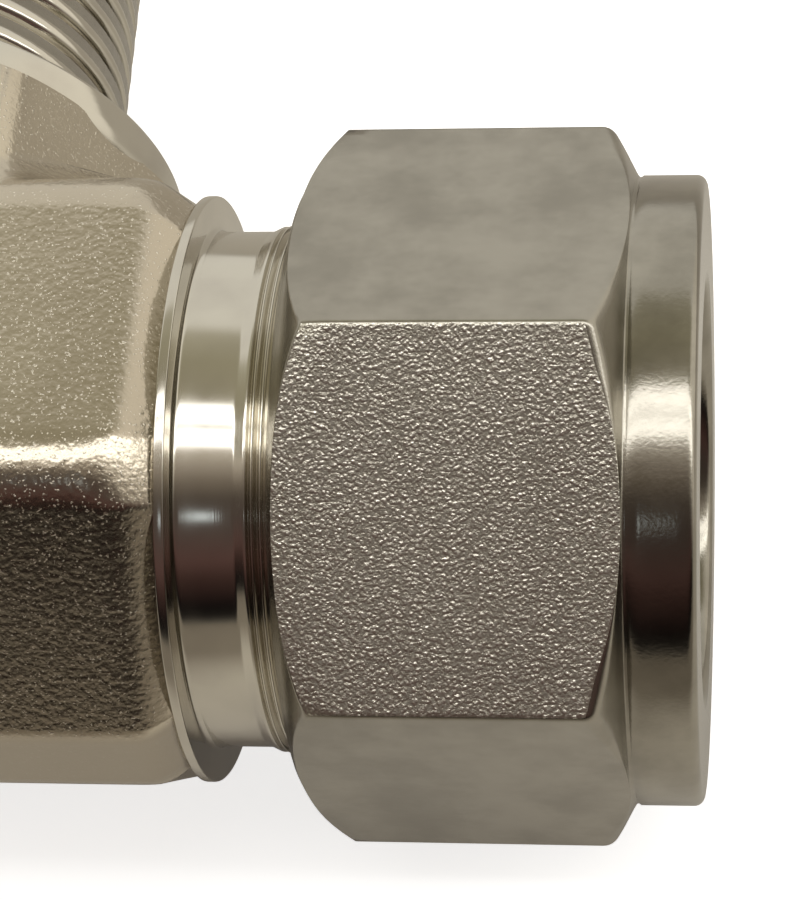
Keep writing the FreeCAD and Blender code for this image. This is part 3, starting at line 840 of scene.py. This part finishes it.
# %% World
BANDS = [
    (-180, (0.3, 0.29, 0.27)), (-95, (0.25, 0.23, 0.2)), (-91, (0.004, 0.004, 0.004)),
    (-84, (0.008, 0.006, 0.006)), (-72, (0.06, 0.032, 0.027)), (-64, (0.125, 0.068, 0.06)),
    (-50, (0.1, 0.075, 0.065)), (-37, (0.1, 0.08, 0.065)), (-29, (0.23, 0.19, 0.15)),
    (-17, (0.6, 0.53, 0.44)), (-12, (0.36, 0.32, 0.24)), (24, (0.395, 0.363, 0.257)),
    (38, (0.51, 0.477, 0.37)), (43, (0.9, 0.87, 0.79)), (90, (0.87, 0.84, 0.77)), (100, (0.3, 0.29, 0.27)),
]
END_WALL = (1.0, 0.94, 0.82)
world = bpy.data.worlds.new("room")
bpy.context.scene.world = world
world.use_nodes = True
room = Graph(world.node_tree)
direction = room.node("ShaderNodeTexCoord", {}, {}, "Generated")
x, y, z = room.node("ShaderNodeSeparateXYZ", {}, {0: direction}, (0, 1, 2))
turn = room.node("ShaderNodeMapRange", {}, {0: y.angle_to(z), 1: -math.pi, 2: math.pi})
stops = [((degrees + 180) / 360, colour) for degrees, colour in BANDS]
walls = room.node("ShaderNodeValToRGB", {"stops": stops}, {0: turn})
walls = room.mixed(x.ramped(0.4, 0.7) * y.ramped(-0.5, 0.1), walls, END_WALL)
to_camera = room.node("ShaderNodeLightPath", {}, {}, "Is Camera Ray")
background = room.nodes["Background"]
background.inputs["Strength"].default_value = 1.0
room.feed(background.inputs["Color"], room.mixed(to_camera, walls, (1, 1, 1)))
print("world made of", len(BANDS), "bands")

# %% [markdown]
# Each lamp is a rectangle that hangs in the plane across the tube's axis and faces it. The tubes are long and
# narrow, so that they draw thin lines along the turned neck.

# %% Lamps
LAMP_DISTANCE = 0.6


def lamp(name, degrees, size, watts, x=0.45, colour=(1, 1, 1)):
    """An area lamp in the plane across the tube's axis, so many degrees from straight up, towards +Y."""
    data = bpy.data.lights.new(name, "AREA")
    data.shape = "RECTANGLE"
    data.size, data.size_y = size
    data.energy, data.color = watts, colour
    item = bpy.data.objects.new(name, data)
    bpy.context.scene.collection.objects.link(item)
    turn = math.radians(degrees)
    item.location = (x, LAMP_DISTANCE * math.sin(turn), LAMP_DISTANCE * math.cos(turn))
    item.rotation_euler = (-turn, 0, 0)
    print("lamp", name, watts, "W")


lamp("tube_lamp_near", -11.2, (2.4, 0.076), 1.8)
lamp("tube_lamp_far", -0.8, (2.4, 0.09), 2.04)
lamp("window", -44.6, (0.09, 0.035), 0.011, -0.06, (0.8, 0.92, 1.0))

# %% [markdown]
# The view is left plain so that a colour renders as it is written.

# %% Finish
bpy.context.scene.view_settings.view_transform = "Standard"
